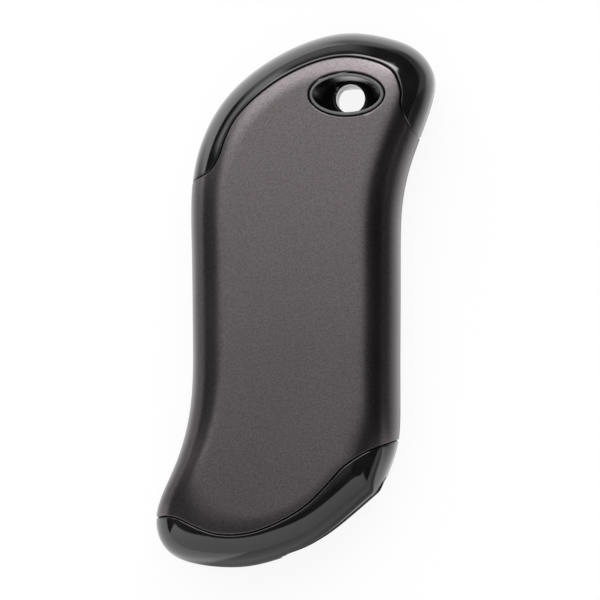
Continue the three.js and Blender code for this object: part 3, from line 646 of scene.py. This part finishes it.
metal = {"Metallic": 1}
lead = ((0.42, 0.55), 1500, 200, 0.00001)
finishes = {
    "satinMetal": finish(
        (warmGrey(0.115), warmGrey(0.165), warmGrey(0.2)), (0.3, 0.34), 2600, 45, 0.000006, wear=0.35,
        shader=metal,
    ),
    "glossCap": finish(
        ((0.0052, 0.0048, 0.0046, 1), (0.0078, 0.0072, 0.007, 1), grey(0.04)), (0.055, 0.1), 260, 70,
        0.000004, wear=0.25, shader={"IOR": 1.65},
    ),
    # The eyelet's third colour is a painted highlight: its edge mask takes in the whole bead and is not
    # broken up
    "glossEyelet": finish(
        greys(0.004, 0.006, 0.12), (0.2, 0.26), 400, 120, 0.000003, wear=1, shader={"IOR": 1.3},
        edges={"Start": 0.518, "End": 0.53, "Break From": -1, "Break To": 0},
    ),
    "satinPanel": finish(
        greys(0.004, 0.007, 0.03), (0.4, 0.5), 3200, 160, 0.00001, shader={"IOR": 1.32}
    ),
    "buttonRubber": finish(greys(0.02, 0.03, 0.09), (0.45, 0.55), 4000, 300, 0.000008),
    "socketSteel": finish(
        greys(0.5, 0.6, 0.75), (0.2, 0.32), 900, 220, 0.000002, stretch=0.08, shader=metal
    ),
    "contactGold": finish(
        ((0.75, 0.5, 0.18, 1), (0.85, 0.6, 0.25, 1), (0.6, 0.5, 0.35, 1)), (0.22, 0.32), 2500, 400,
        0.000002, shader=metal,
    ),
    "tonguePlastic": finish(greys(0.018, 0.028, 0.06), (0.5, 0.6), 3500, 300, 0.000006),
    "clearPipe": finish(
        greys(0.82, 0.9, 0.95), (0.12, 0.22), 800, 300, 0.000002, wear=0.1,
        shader={"Transmission Weight": 0.85, "IOR": 1.49},
    ),
    "chassisPlastic": finish(greys(0.02, 0.03, 0.06), (0.55, 0.65), 2200, 80, 0.00002),
    "screwSteel": finish(greys(0.45, 0.55, 0.75), (0.25, 0.4), 1500, 500, 0.000004, shader=metal),
    "nickelStrip": finish(
        greys(0.5, 0.6, 0.7), (0.3, 0.42), 1200, 200, 0.000004, stretch=0.1, shader=metal
    ),
    "canAluminium": finish(
        greys(0.55, 0.65, 0.75), (0.28, 0.36), 1800, 300, 0.000003, stretch=0.2, shader=metal
    ),
    "cellSleeve": finish(
        ((0.02, 0.12, 0.35, 1), (0.028, 0.16, 0.42, 1), (0.1, 0.25, 0.5, 1)), (0.3, 0.42), 500, 90,
        0.00001,
    ),
    "fishPaper": finish(
        ((0.62, 0.58, 0.48, 1), (0.74, 0.7, 0.6, 1), (0.5, 0.46, 0.38, 1)), (0.8, 0.92), 2500, 250,
        0.00002, stretch=0.25,
    ),
    "heaterFilm": finish(
        ((0.42, 0.16, 0.015, 1), (0.52, 0.22, 0.03, 1), (0.6, 0.35, 0.1, 1)), (0.22, 0.35), 700, 120,
        0.00001, stretch=0.05, shader={"Coat Weight": 0.4},
    ),
    "foamPad": finish(greys(0.2, 0.32, 0.4), (0.88, 0.96), 3000, 200, 0.00008, bumpStrength=0.8),
    "solderMask": finish(
        ((0.008, 0.07, 0.025, 1), (0.012, 0.1, 0.04, 1), (0.5, 0.4, 0.15, 1)), (0.3, 0.42), 900, 150,
        0.00001,
    ),
    "chipEpoxy": finish(greys(0.012, 0.02, 0.05), (0.5, 0.62), 3500, 400, 0.00001),
    "ferrite": finish(greys(0.03, 0.06, 0.1), (0.7, 0.82), 2600, 300, 0.00003),
    "lampResin": finish(
        ((0.75, 0.75, 0.55, 1), (0.85, 0.85, 0.66, 1), grey(0.9)), (0.3, 0.4), 2000, 500, 0.000004
    ),
    "redLead": finish(
        ((0.38, 0.012, 0.008, 1), (0.48, 0.02, 0.012, 1), (0.6, 0.1, 0.08, 1)), *lead
    ),
    "blackLead": finish(greys(0.01, 0.016, 0.05), *lead),
    "whiteLead": finish(greys(0.6, 0.7, 0.8), *lead),
}
materials = {name: makeFinish(name, look) for name, look in finishes.items()}
print("finishes made:", len(materials))

# Inner nodes that stay as they are, by the finish that they get
innerNodes = {
    "chassisPlastic": ["chassis_front", "chassis_rear"],
    "screwSteel": ["switch_plunger"] + [f"chassis_screw_{number}" for number in (1, 2, 3, 4)],
    "cellSleeve": ["battery_cell_left", "battery_cell_right"],
    "fishPaper": ["cell_insulator_left", "cell_insulator_right"],
    "nickelStrip": ["nickel_strip_positive", "nickel_strip_negative"],
    "heaterFilm": ["heater_film_front", "heater_film_rear"],
    "foamPad": ["insulation_pad_front", "insulation_pad_rear"],
    "solderMask": ["circuit_board"],
    "chipEpoxy": ["boost_chip", "charge_chip", "controller_chip", "thermistor", "tact_switch"],
    "ferrite": ["inductor"],
    "canAluminium": ["capacitor_1", "capacitor_2"],
    "lampResin": ["led_1", "led_2", "led_3", "led_4"],
    "redLead": ["battery_lead_positive"],
    "blackLead": ["battery_lead_negative"],
    "whiteLead": [
        "thermistor_lead", "heater_lead_front_1", "heater_lead_front_2", "heater_lead_rear_1",
        "heater_lead_rear_2",
    ],
}
for finishName, names in innerNodes.items():
    for name in names:
        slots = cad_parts[name].data.materials
        slots.clear()
        slots.append(materials[finishName])


eyelet = {
    "place": scaled(halfSize, (0.403, 0.748)),
    "width": 17.1,
    "height": 9.8,
    "rim": 0.75,
    "bead": 0.36,
    "beadSteps": 8,
    "bore": 6.8,
    "boreTop": 18,
    "boreRound": 0.5,
    "boreRoundSteps": 10,
    "columns": 112,
    "bowlSteps": 12,
    "bowlPower": 1.6,
    "gap": 0.3,
    "holeRound": 0.35,
    "holeSteps": 6,
}

# How far a cutter flares out past the rounding that it leaves, and how far it clears the body
flareRise = 0.04
cutterClear = 2


# Points of an oval about the eyelet's middle, drawn in by an inset, each at the height that rise gives
def ovalRow(size, inset, rise):
    row = []
    for k in range(eyelet["columns"]):
        turn = 2 * math.pi * k / eyelet["columns"]
        x = eyelet["place"].x + (size[0] / 2 - inset) * math.cos(turn)
        y = eyelet["place"].y + (size[1] / 2 - inset) * math.sin(turn)
        row.append(Vector((x, y, rise(x, y))))
    return closedRow(row)


# An eyelet half from the parting line up its outside, over its bead and down its bowl and bore
def eyeletRows():
    size = (eyelet["width"], eyelet["height"])
    bead, rim = eyelet["bead"], eyelet["rim"]
    floor = body["halfThickness"] + body["partingGap"] / 2
    rows = [ovalRow(size, 0, lambda x, y: floor)]
    for k in range(eyelet["beadSteps"] + 1):
        turn = math.pi * k / eyelet["beadSteps"]
        sunk = bead * (1 - math.sin(turn))
        inset = rim / 2 * (1 - math.cos(turn))
        rows.append(ovalRow(size, inset, lambda x, y: skinHeight(x, y) - sunk))
    mouth = rows[-1]
    top, edgeRound = eyelet["boreTop"], eyelet["boreRound"]
    throat = eyelet["bore"] + 2 * edgeRound
    throatRow = ovalRow((throat, throat), 0, lambda x, y: top)
    for k in range(eyelet["bowlSteps"] - 1, -1, -1):
        share = (k / eyelet["bowlSteps"]) ** eyelet["bowlPower"]
        row = []
        for a, b in zip(throatRow, mouth):
            point = a.lerp(b, math.sqrt(share))
            point.z = a.z + (b.z - a.z) * share
            row.append(point)
        rows.append(row)
    for inward, depth in roundingSteps(edgeRound, eyelet["boreRoundSteps"])[::-1][1:]:
        rows.append(ovalRow((throat, throat), edgeRound - inward, lambda x, y: top - depth))
    rows.append(ovalRow((eyelet["bore"], eyelet["bore"]), 0, lambda x, y: floor))
    return closedRow(rows)


# How far out a rounding's cutter leaves the skin
def flareOf(steps):
    return steps[-1][0] + 2 * (steps[-1][0] - steps[-2][0])


# What the shell loses round the eyelet: a hole whose edge is rounded over
def eyeletCutter():
    size = (eyelet["width"] + 2 * eyelet["gap"], eyelet["height"] + 2 * eyelet["gap"])
    steps = roundingSteps(eyelet["holeRound"], eyelet["holeSteps"])[:-1]
    rows = [ovalRow(size, 0, lambda x, y: eyelet["boreTop"])]
    for inward, depth in steps:
        rows.append(ovalRow(size, -inward, lambda x, y: skinHeight(x, y) - depth))
    flare = flareOf(steps)
    rows.append(ovalRow(size, -flare, lambda x, y: skinHeight(x, y) + flareRise))
    rows.append(ovalRow(size, -flare, lambda x, y: 2 * body["halfThickness"] + cutterClear))
    return sheetOf(rows)


# Front and rear pieces of a kind from one shape, the rear one as its mirror image
def addBothSides(bm, nodePattern, finishName, cutters=(None, None)):
    shapes = (bm, mirroredBehind(bm))
    for shape, side, cutter in zip(shapes, ("front", "rear"), cutters):
        node = nodePattern.format(side)
        piece = objectOf(shape, node + "_skin")
        if cutter:
            cutBy(piece, [objectOf(cutter, "cutter")])
        finishPiece(piece, finishName, [node])


hole = eyeletCutter()
holes = (hole, mirroredBehind(hole))
addBothSides(sheetOf(shellRows()), "{}_shell", "satinMetal", holes)
addBothSides(sheetOf(capRows("top", 1)), "top_cap_{}", "glossCap")
addBothSides(sheetOf(eyeletRows()), "eyelet_{}", "glossEyelet")
print("shells, top caps and eyelets made")

port = {
    "middle": (10.49, -52.92, 14),
    "lean": math.radians(38.7),
    "size": (30.5, 11, 3.5),
    "inset": -0.05,
    "crown": 0.4,
    "rim": 1,
    "bead": 0.3,
    "beadSteps": 10,
    "cornerSteps": 10,
    "pitch": 0.4,
    "back": -4.7,
    "floor": -3.2,
    "floorRound": 0.3,
    "floorSteps": 3,
    "mouth": -3.4,
    "gap": 0.3,
    "holeRound": 0.3,
    "holeSteps": 6,
    "cutterOut": 12,
    "openingEase": 0.25,
    "openingSteps": 4,
    "openingFlare": 1.6,
    "openingClear": 1,
    "facing": [28, 34.9],
}
portAlong = Vector((math.cos(port["lean"]), math.sin(port["lean"]), 0))
portOut = Vector((math.sin(port["lean"]), -math.cos(port["lean"]), 0))
portMiddle = Vector(port["middle"])
portWays = Matrix((portAlong, (0, 0, 1), portOut)).transposed().to_4x4()
portTurn = Matrix.Translation(portMiddle) @ portWays


# The point of the skin over a place on the port face: along the face, and up from the parting line
def facePoint(along, up, depth=0):
    half = body["halfThickness"]
    rise = riseOfHeight(up / (half - depth))
    low, high = port["facing"]
    for _ in range(sampling["faceHalvings"]):
        middle = (low + high) / 2
        if (skinPoint(middle, rise, depth) - portMiddle).dot(portAlong) < along:
            low = middle
        else:
            high = middle
    place = skinPoint(low, rise, depth)
    return Vector((place.x, place.y, half + up))


# A rounded rectangle on the port face, grown by a distance and narrowed below its middle by a taper
def portOutline(size, grow=0, place=(0, 0), taper=0):
    width, height, corner = size
    x, y = width / 2 - corner, height / 2 - corner
    middles = [Vector((x, y)), Vector((-x, y)), Vector((-x, -y)), Vector((x, -y))]
    line = []
    cornerSteps = port["cornerSteps"]
    for i, middle in enumerate(middles):
        turns = [quarter * (i + k / cornerSteps) for k in range(cornerSteps + 1)]
        arc = [middle + Vector((math.cos(turn), math.sin(turn))) * (corner + grow) for turn in turns]
        ahead = middles[(i + 1) % 4] - middle
        count = max(1, round(ahead.length / port["pitch"]))
        line += arc + [arc[-1] + ahead * (k / count) for k in range(1, count)]
    for point in line:
        point.x *= 1 - taper * max(0, -point.y / height)
    return [point + Vector(place) for point in line]


# A row on the skin, sunk by a depth, which a crown adds to towards the row's ends
def skinRow(size, grow, depth, crown=0):
    row = []
    for point in portOutline(size, grow):
        sunk = depth + crown * (2 * point.x / size[0]) ** 4
        row.append(facePoint(point.x, point.y, sunk))
    return closedRow(row)


# A row at one level out of the port face
def levelRow(size, grow, level, place=(0, 0), taper=0):
    line = portOutline(size, grow, place, taper)
    return closedRow([portTurn @ point.to_3d() + portOut * level for point in line])


# A closed piece swept from a rounded rectangle, by how far it has grown at each level out of the face
def portSweep(size, steps, place=(0, 0), taper=0):
    return sheetOf([levelRow(size, grow, level, place, taper) for grow, level in steps])


# What the bottom caps lose for the port panel, with its edge rounded over
def portCutter():
    size = port["size"]
    steps = roundingSteps(port["holeRound"], port["holeSteps"])[:-1]
    rows = [levelRow(size, port["gap"], port["back"] - port["gap"])]
    rows += [skinRow(size, port["gap"] + inward, depth) for inward, depth in steps]
    flare = port["gap"] + flareOf(steps)
    rows += [skinRow(size, flare, -flareRise), levelRow(size, flare, port["cutterOut"])]
    return sheetOf(rows)


# The panel: a floor behind a rounded lip that lies in the skin
def panelShape():
    size, bead, rim = port["size"], port["bead"], port["rim"]
    rows = [levelRow(size, 0, port["back"])]
    for k in range(port["beadSteps"] + 1):
        turn = math.pi * k / port["beadSteps"]
        sunk = port["inset"] + bead * (1 - math.sin(turn))
        rows.append(skinRow(size, -rim / 2 * (1 - math.cos(turn)), sunk, port["crown"]))
    for inward, lift in roundingSteps(port["floorRound"], port["floorSteps"]):
        rows.append(levelRow(size, -rim - inward, port["floor"] + lift))
    return sheetOf(rows)


# A cutter for an opening in the panel's floor, with an eased edge
def openingShape(size, place, taper=0):
    floor, clear = port["floor"], port["openingClear"]
    rounding = roundingSteps(port["openingEase"], port["openingSteps"])[:-1]
    flare = rounding[-1][0] * port["openingFlare"]
    steps = [(0, port["back"] - clear)] + [(inward, floor - depth) for inward, depth in rounding]
    steps += [(flare, floor + flareRise), (flare, floor + clear)]
    return portSweep(size, steps, place, taper)


usbSocket = {
    "size": (13.1, 5.7, 0.8),
    "place": (-7, 0),
    "depth": 14,
    "wall": 0.3,
    "tongue": (11.1, 1.8, 0.15),
    "tonguePlace": (-7, 0.95),
    "tongueSink": 1.2,
    "tongueEase": 0.14,
    "contact": (1, 0.12, 0.05),
    "contactPlaces": [-3.5, -1.25, 1.25, 3.5],
    "contactLength": 7,
    "contactSink": 0.5,
}
microSocket = {
    "size": (7.5, 2.6, 0.45),
    "place": (3.9, -1.55),
    "taper": 0.48,
    "depth": 5.5,
    "wall": 0.3,
    "tongue": (3.7, 0.5, 0.1),
    "tonguePlace": (3.9, -1.3),
    "tongueSink": 0.3,
    "tongueEase": 0.08,
}
bothSockets = {
    "backEase": 0.15,
    "lipSteps": 6,
    "tongueRoot": 0.05,
    "tongueNose": 0.3,
}
powerButton = {
    "place": (11.3, 0),
    "profile": [
        (0, -7), (1, -7), (1.2, -6.8), (1.2, -5.7), (2.65, -5.7), (2.8, -5.55), (2.8, -5.15),
        (2.65, -5), (2.2, -5), (2.2, -2.85), (2.16, -2.68), (2.04, -2.56), (1.86, -2.5), (1.66, -2.51),
        (1.3, -2.6), (0.9, -2.67), (0.45, -2.71), (0, -2.72),
    ],
    "hole": 5,
    "turns": 64,
}
lightPipe = {
    "places": [0.9, 2.9, 4.9, 6.9],
    "row": 2.7,
    "hole": 1.4,
    "prong": [
        (0, -5.2), (0.55, -5.2), (0.55, -3.62), (0.5, -3.5), (0.36, -3.42), (0.18, -3.4), (0, -3.4),
    ],
    "turns": 32,
    "arm": ((-0.1, 2, -10.6), (7.9, 3.4, -5)),
    "leg": ((0, -1.75, -10.5), (7.8, 2.5, -9.2)),
}


# A metal mouth: a cup with a rounded lip, open towards the panel
def mouthShape(socket):
    wall, mouth = socket["wall"], port["mouth"]
    back, ease, lipSteps = mouth - socket["depth"], bothSockets["backEase"], bothSockets["lipSteps"]
    steps = [(-ease, back), (0, back + ease), (0, mouth - wall / 2)]
    for k in range(1, lipSteps + 1):
        turn = math.pi * k / lipSteps
        steps.append((-wall / 2 * (1 - math.cos(turn)), mouth - wall / 2 * (1 - math.sin(turn))))
    steps.append((-wall, back + wall))
    return portSweep(socket["size"], steps, socket["place"], socket.get("taper", 0))


# A tongue from inside the mouth's back wall to its eased nose
def tongueShape(socket):
    front = port["mouth"] - socket["tongueSink"]
    root = port["mouth"] - socket["depth"] + socket["wall"] - bothSockets["tongueRoot"]
    steps = [(0, root), (0, front - bothSockets["tongueNose"]), (-socket["tongueEase"], front)]
    return portSweep(socket["tongue"], steps, socket["tonguePlace"])


# Turns a profile of (radius, level) about a line that stands out of the port face
def turnedShape(profile, place, turns):
    bm = bmesh.new()
    line = [bm.verts.new((radius, 0, level)) for radius, level in profile]
    edges = [bm.edges.new(pair) for pair in zip(line, line[1:])]
    bmesh.ops.spin(
        bm, geom=line + edges, cent=(0, 0, 0), axis=(0, 0, 1), angle=2 * math.pi, steps=turns,
        use_merge=True,
    )
    bmesh.ops.remove_doubles(bm, verts=bm.verts[:], dist=spunReach)
    bmesh.ops.recalc_face_normals(bm, faces=bm.faces[:])
    seat = portTurn @ Matrix.Translation((*place, 0))
    bmesh.ops.transform(bm, matrix=seat, verts=bm.verts[:])
    return bm


# A block on the port face with bevelled edges
def blockShape(low, high, bevel=0.12):
    low, high = Vector(low), Vector(high)
    bm = bmesh.new()
    bmesh.ops.create_cube(bm, size=1)
    bmesh.ops.scale(bm, vec=high - low, verts=bm.verts[:])
    bmesh.ops.bevel(
        bm, geom=bm.edges[:], offset=bevel, segments=3, profile=0.5, affect="EDGES", material=-1
    )
    bmesh.ops.transform(bm, matrix=portTurn @ Matrix.Translation((low + high) / 2), verts=bm.verts[:])
    return bm


# A contact on the underside of a tongue
def contactShape(socket, along):
    width, height, edgeRound = socket["contact"]
    middle = socket["place"][0] + along
    under = socket["tonguePlace"][1] - socket["tongue"][1] / 2
    front = port["mouth"] - socket["tongueSink"] - socket["contactSink"]
    low = (middle - width / 2, under - height / 2, front - socket["contactLength"])
    high = (middle + width / 2, under + height / 2, front)
    return blockShape(low, high, edgeRound)


hole = portCutter()
holes = (hole, hole.copy())
addBothSides(sheetOf(capRows("bottom", -1)), "bottom_cap_{}", "glossCap", holes)

panel = objectOf(panelShape(), "port_panel_skin")
openings = [openingShape(usbSocket["size"], usbSocket["place"])]
openings.append(openingShape(microSocket["size"], microSocket["place"], microSocket["taper"]))
roundHoles = [(powerButton["hole"], powerButton["place"])]
roundHoles += [(lightPipe["hole"], (along, lightPipe["row"])) for along in lightPipe["places"]]
for across, place in roundHoles:
    openings.append(openingShape((across, across, across / 2), place))
cutBy(panel, [objectOf(opening, "opening") for opening in openings])
finishPiece(panel, "satinPanel", ["port_panel"])

for prefix, socket in (("usb_a", usbSocket), ("micro_usb", microSocket)):
    mouth = objectOf(mouthShape(socket), f"{prefix}_shell")
    finishPiece(mouth, "socketSteel", [f"{prefix}_socket"])
    tongue = objectOf(tongueShape(socket), f"{prefix}_tongue")
    finishPiece(tongue, "tonguePlastic")
    for number, along in enumerate(socket.get("contactPlaces", []), 1):
        contact = objectOf(contactShape(socket, along), f"{prefix}_contact_{number}")
        finishPiece(contact, "contactGold")

cap = turnedShape(powerButton["profile"], powerButton["place"], powerButton["turns"])
button = objectOf(cap, "power_button_skin")
finishPiece(button, "buttonRubber", ["power_button"], "button")
pipe = objectOf(blockShape(*lightPipe["arm"]), "light_pipe_skin")
joined = [objectOf(blockShape(*lightPipe["leg"]), "leg")]
for along in lightPipe["places"]:
    prong = turnedShape(lightPipe["prong"], (along, lightPipe["row"]), lightPipe["turns"])
    joined.append(objectOf(prong, "prong"))
cutBy(pipe, joined, "UNION")
finishPiece(pipe, "clearPipe", ["light_pipe"])
print("bottom caps and port face made")

# The camera looks down at the front face, with the body's length up the picture
camera = {
    "aim": (0.96, 0.03, 14),
    "yaw": math.radians(6.5),
    "pitch": math.radians(1.75),
    "distance": 602.2,
    "lens": 153,
    "sensor": 36,
}
aim = Vector(camera["aim"]) * metre
backward = Vector((math.tan(camera["yaw"]), -math.tan(camera["pitch"]), 1)).normalized()
sideways = Vector((0, 1, 0)).cross(backward).normalized()
upward = backward.cross(sideways)
lens = bpy.data.cameras.new("camera")
lens.lens = camera["lens"]
lens.sensor_width = camera["sensor"]
viewer = bpy.data.objects.new("camera", lens)
facing = Matrix((sideways, upward, backward)).transposed().to_4x4()
viewer.matrix_world = Matrix.Translation(aim + backward * camera["distance"] * metre) @ facing
bpy.context.scene.collection.objects.link(viewer)
bpy.context.scene.camera = viewer

# The studio: soft panels that face the object. Each has its lean from straight up and its turn from +X,
# then its left, right, low and high edge as tangents seen from the object, how far the edges fade in,
# its light at its low and high edge, and how the light slants across it. Each entry of the floor's
# painted light and shade changes what gloss sees of the floor: along which way, from where to where in
# metres, to what share of the light, and along which way and between which places the change fades out
studio = {
    "fill": 1.8,
    "fillSize": 1.6,
    "fillHeight": 1.5,
    "ambient": 0.02,
    "floor": 3,
    "floorGap": 0.0001,
    "floorColour": grey(0.8),
    "floorRough": 0.9,
    "floorShown": 0.9,
    "floorGloss": 1.2,
    "floorLight": [
        ("X", (0.01, 0.08), 0, "reach", (0.04, 0.058)),
        ("X", (-0.03, -0.07), 0.4, "reach", (0.04, 0.058)),
        ("X", (0.05, 0.085), 0.22, "Y", (0.02, -0.02)),
        ("Y", (-0.059, -0.067), 0.15, "X", (-0.024, -0.036)),
        ("Y", (-0.072, -0.095), 2.9, "X", (-0.024, -0.036)),
        ("Y", (0.1, 0.15), 0.5, "X", (0, -0.03)),
        ("Y", (0.03, 0.09), 1.5, "reach", (1, 2)),
    ],
    "panels": {
        "overhead": (0, -90, -0.62, 0.52, -0.62, 0.36, 0.25, 0.193, 0.193, 0),
        "overheadUp": (0, -90, -0.62, 0.52, 0, 0.45, 0.1, 1, 1, 0),
        "top": (40, 95, -0.68, 0.68, -0.36, 0.5, 0.22, 3.6, 2.8, 0),
        "corner": (52, 62, -0.17, 0.4, -0.13, 0.12, 0.05, 6, 6, -1.2),
        "topWall": (80, 110, -0.6, 0.6, -0.35, 0.35, 0.3, 0.9, 0.8, 0.2),
        "left": (68, 140, -0.36, 0.36, -0.22, 0.22, 0.13, 0.8, 2.4, 0),
        "leftWall": (60, 190, -0.6, 0.6, -0.5, 0.5, 0.4, 0.06, 0.1, 0),
        "low": (75, -90, -1.95, 1.75, -0.4, 0.62, 0.05, 0.72, 1.1, -0.15),
    },
}
panelNumbers = ("Left", "Right", "Low", "High", "Edge", "Low Light", "High Light", "Slant")


# A panel's light in a direction: soft at its edges, graded up it and, by its slant, across it
def makePanelGroup():
    vectors = ("Direction", "Facing", "Across", "Upward")
    numbers = dict.fromkeys(panelNumbers, 0)
    group, given, made = newGroup("studioPanel", numbers, ("Light",), vectors)

    def along(label):
        sockets = {0: given["Direction"], 1: given[label]}
        return addNode(group, "VectorMath", sockets, operation="DOT_PRODUCT").outputs["Value"]

    facing = along("Facing")
    across = computed(group, "DIVIDE", along("Across"), facing)
    upward = computed(group, "DIVIDE", along("Upward"), facing)

    def within(place, low, high):
        past = computed(group, "SUBTRACT", place, given[low])
        short = computed(group, "SUBTRACT", given[high], place)
        return computed(group, "MINIMUM", past, short)

    fromSides, fromEnds = within(across, "Left", "Right"), within(upward, "Low", "High")
    inside = computed(group, "MINIMUM", fromSides, fromEnds)
    mask = mapped(group, inside, 0, given["Edge"], interpolation_type="SMOOTHSTEP")
    light = mapped(group, upward, given["Low"], given["High"], given["Low Light"], given["High Light"])
    slanted = computed(group, "MULTIPLY", across, given["Slant"])
    light = computed(group, "MULTIPLY", light, computed(group, "ADD", slanted, 1))
    light = computed(group, "MULTIPLY", mask, light)
    light = computed(group, "MULTIPLY", light, computed(group, "GREATER_THAN", facing, 0))
    group.links.new(light, made["Light"])
    return group


world = bpy.data.worlds.new("studio")
bpy.context.scene.world = world
world.use_nodes = True
tree = world.node_tree
direction = addNode(tree, "TexCoord").outputs["Generated"]
panelGroup = makePanelGroup()
total = studio["ambient"]
for name, (lean, turn, *numbers) in studio["panels"].items():
    lean, turn = math.radians(lean), math.radians(turn)
    facing = Vector((math.sin(lean) * math.cos(turn), math.sin(lean) * math.sin(turn), math.cos(lean)))
    across = Vector((-math.sin(turn), math.cos(turn), 0))
    sockets = {
        "Direction": direction, "Facing": facing, "Across": across, "Upward": facing.cross(across),
        **dict(zip(panelNumbers, numbers)),
    }
    panel = addNode(tree, "Group", sockets, node_tree=panelGroup)
    panel.label = name
    total = computed(tree, "ADD", panel.outputs["Light"], total)
tree.links.new(total, tree.nodes["Background"].inputs["Strength"])
tree.nodes["Background"].inputs["Color"].default_value = grey(1)

# A broad fill lamp brings matt colours to their written brightness
fill = bpy.data.lights.new("fill", "AREA")
fill.shape = "DISK"
fill.size = studio["fillSize"]
fill.energy = studio["fill"] * math.pi * math.pi * (fill.size / 2) ** 2
fillLamp = bpy.data.objects.new("fill", fill)
fillLamp.location = (0, 0, studio["fillHeight"])
fillLamp.visible_glossy = False
bpy.context.scene.collection.objects.link(fillLamp)

# The floor shows plain white to the camera, shows painted light and shade by place in reflections, and
# keeps a soft shadow
bm = bmesh.new()
sunk = Matrix.Translation((0, 0, -studio["floorGap"]))
bmesh.ops.create_grid(bm, x_segments=1, y_segments=1, size=studio["floor"], matrix=sunk)
floor = objectOf(bm, "floor")
paper = bpy.data.materials.new("floorPaper")
paper.use_nodes = True
tree = paper.node_tree
shader = tree.nodes["Principled BSDF"]
shader.inputs["Base Color"].default_value = studio["floorColour"]
shader.inputs["Roughness"].default_value = studio["floorRough"]
rays = addNode(tree, "LightPath").outputs
seen = computed(tree, "MAXIMUM", rays["Is Camera Ray"], rays["Is Transmission Ray"])
shown = computed(tree, "MAXIMUM", seen, rays["Is Glossy Ray"])
amount = computed(tree, "MULTIPLY", shown, studio["floorShown"])
place = addNode(tree, "TexCoord").outputs["Object"]
apart = addNode(tree, "SeparateXYZ", {"Vector": place}).outputs
ways = {"X": apart["X"], "Y": apart["Y"], "reach": computed(tree, "ABSOLUTE", apart["Y"])}
# Painted light and shade that only reflections see: the floor's glow is darker in some places round the
# body and brighter in others
total = studio["floorGloss"]
for way, (near, far), light, endWay, (start, end) in studio["floorLight"]:
    part = mapped(tree, ways[way], near, far, 1, light, interpolation_type="SMOOTHSTEP")
    beyond = mapped(tree, ways[endWay], start, end)
    part = addNode(tree, "Mix", {0: beyond, 2: part, 3: 1}).outputs[0]
    total = computed(tree, "MULTIPLY", part, total)
bright = addNode(tree, "Mix", {0: seen, 2: total, 3: 1}).outputs[0]
glow = addNode(tree, "Emission", {"Color": grey(1), "Strength": bright})
mix = addNode(tree, "MixShader", {0: amount, 1: shader.outputs[0], 2: glow.outputs[0]})
tree.links.new(mix.outputs[0], tree.nodes["Material Output"].inputs["Surface"])
floor.data.materials.append(paper)
print("camera, lamps and floor set")

bpy.context.scene.view_settings.view_transform = "Standard"
